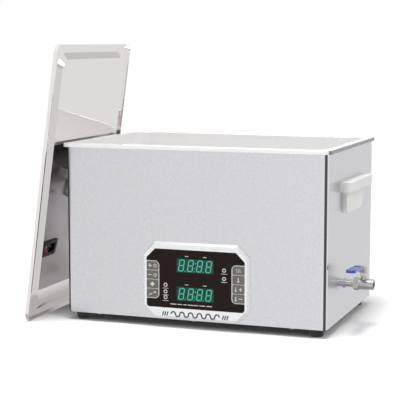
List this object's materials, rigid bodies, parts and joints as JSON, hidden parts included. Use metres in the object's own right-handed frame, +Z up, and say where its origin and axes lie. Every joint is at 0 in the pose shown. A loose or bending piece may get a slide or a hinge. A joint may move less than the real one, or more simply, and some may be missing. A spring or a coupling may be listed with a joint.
{
  "type": "ultrasonic cleaner",
  "caption": "Bench-top ultrasonic cleaner: steel casing and tank, front control panel, side handles, lever drain valve, and its lifted lid leaning on the left side.",
  "frame": {"origin": "on the floor under the casing's centre", "axes": "+X to the right of the control panel, +Y to the back, +Z up"},
  "size_m": [0.6484, 0.417, 0.5369],
  "materials": {
    "case_steel": "satin, fine grain",
    "tank_steel": "polished",
    "lid_steel": "mirror polished",
    "bezel_white": "smooth, satin gloss",
    "window_black": "gloss, smoked",
    "keypad_grey": "matt film",
    "keypad_border": "matt film",
    "display_green": "gloss, lit from behind",
    "lamp_clear": "diffuse lens",
    "handle_grey": "fine satin",
    "rubber_black": "matt",
    "gasket_silicone": "matt",
    "valve_steel": "cast and turned",
    "ball_chrome": "polished",
    "seal_ptfe": "smooth",
    "grip_blue": "dipped vinyl, gloss",
    "screw_steel": "zinc plated",
    "nut_brass": "turned",
    "horn_aluminium": "turned",
    "piezo_ceramic": "matt",
    "mass_steel": "turned",
    "heater_orange": "matt",
    "board_green": "solder mask",
    "switch_black": "moulded",
    "rocker_red": "gloss",
    "fan_black": "moulded",
    "coil_dark": "lacquered",
    "heatsink_aluminium": "extruded"
  },
  "bodies": {
    "casing": {"casing_wrap": "case_steel", "rear_panel": "case_steel", "bottom_cover": "case_steel", "bottom_screws": "screw_steel", "feet": "rubber_black", "tank": "tank_steel", "rim_seal": "gasket_silicone", "heater_pads": "heater_orange", "transducer_horns": "horn_aluminium", "piezo_rings": "piezo_ceramic", "transducer_back_masses": "mass_steel", "transducer_bolts": "screw_steel", "control_bezel": "bezel_white", "bezel_nuts": "nut_brass", "display_window": "window_black", "keypad_left": "keypad_border", "keypad_right": "keypad_border", "display_upper": "display_green", "display_lower": "display_green", "indicator_leds": "lamp_clear", "control_board": "board_green", "board_standoffs": "nut_brass", "key_switches": "switch_black", "handle_left": "handle_grey", "handle_right": "handle_grey", "handle_screws": "screw_steel", "drain_strainer": "tank_steel", "drain_pipe": "valve_steel", "drain_nipple": "valve_steel", "drain_nuts": "nut_brass", "valve_body": "valve_steel", "valve_end_cap": "valve_steel", "valve_seats": "seal_ptfe", "packing_nut": "valve_steel", "iec_inlet": "switch_black", "inlet_pins": "nut_brass", "fan_frame": "fan_black", "fan_guard": "screw_steel", "fan_screws": "screw_steel", "generator_board": "board_green", "heatsink": "heatsink_aluminium", "output_transformer": "coil_dark"},
    "lid": {"lid_pan": "lid_steel", "lid_handle": "valve_steel", "lid_screws": "screw_steel"},
    "drain_lever": {"valve_ball": "ball_chrome", "valve_stem": "valve_steel", "lever_nut": "screw_steel", "valve_lever": "valve_steel", "lever_grip": "grip_blue"},
    "power_switch": {"power_rocker": "rocker_red"},
    "fan_wheel": {"fan_rotor": "fan_black"},
    "key_1": {"key_1": "keypad_grey"},
    "key_2": {"key_2": "keypad_grey"},
    "key_3": {"key_3": "keypad_grey"},
    "key_4": {"key_4": "keypad_grey"},
    "key_5": {"key_5": "keypad_grey"},
    "key_6": {"key_6": "keypad_grey"},
    "key_7": {"key_7": "keypad_grey"},
    "key_8": {"key_8": "keypad_grey"}
  },
  "joints": [
    {"name": "lid_lift", "type": "slide", "parent": "casing", "child": "lid", "axis": [0, 0, 1], "range_m": [0, 0.36]},
    {"name": "valve_turn", "type": "hinge", "parent": "casing", "child": "drain_lever", "pos_m": [0.298, -0.04, 0.11], "axis": [0, 0, 1], "range_deg": [0, 90]},
    {"name": "power_rock", "type": "hinge", "parent": "casing", "child": "power_switch", "pos_m": [-0.2605, -0.1, 0.11], "axis": [0, -1, 0], "range_deg": [0, 16]},
    {"name": "fan_spin", "type": "hinge", "parent": "casing", "child": "fan_wheel", "pos_m": [0, 0.166, 0.095], "axis": [0, 1, 0], "continuous": true},
    {"name": "press_key_1", "type": "slide", "parent": "casing", "child": "key_1", "axis": [0, 1, 0], "range_m": [0, 0.0005], "stiffness_N_per_m": 800},
    {"name": "press_key_2", "type": "slide", "parent": "casing", "child": "key_2", "axis": [0, 1, 0], "range_m": [0, 0.0005], "stiffness_N_per_m": 800},
    {"name": "press_key_3", "type": "slide", "parent": "casing", "child": "key_3", "axis": [0, 1, 0], "range_m": [0, 0.0005], "stiffness_N_per_m": 800},
    {"name": "press_key_4", "type": "slide", "parent": "casing", "child": "key_4", "axis": [0, 1, 0], "range_m": [0, 0.0005], "stiffness_N_per_m": 800},
    {"name": "press_key_5", "type": "slide", "parent": "casing", "child": "key_5", "axis": [0, 1, 0], "range_m": [0, 0.0005], "stiffness_N_per_m": 800},
    {"name": "press_key_6", "type": "slide", "parent": "casing", "child": "key_6", "axis": [0, 1, 0], "range_m": [0, 0.0005], "stiffness_N_per_m": 800},
    {"name": "press_key_7", "type": "slide", "parent": "casing", "child": "key_7", "axis": [0, 1, 0], "range_m": [0, 0.0005], "stiffness_N_per_m": 800},
    {"name": "press_key_8", "type": "slide", "parent": "casing", "child": "key_8", "axis": [0, 1, 0], "range_m": [0, 0.0005], "stiffness_N_per_m": 800}
  ]
}
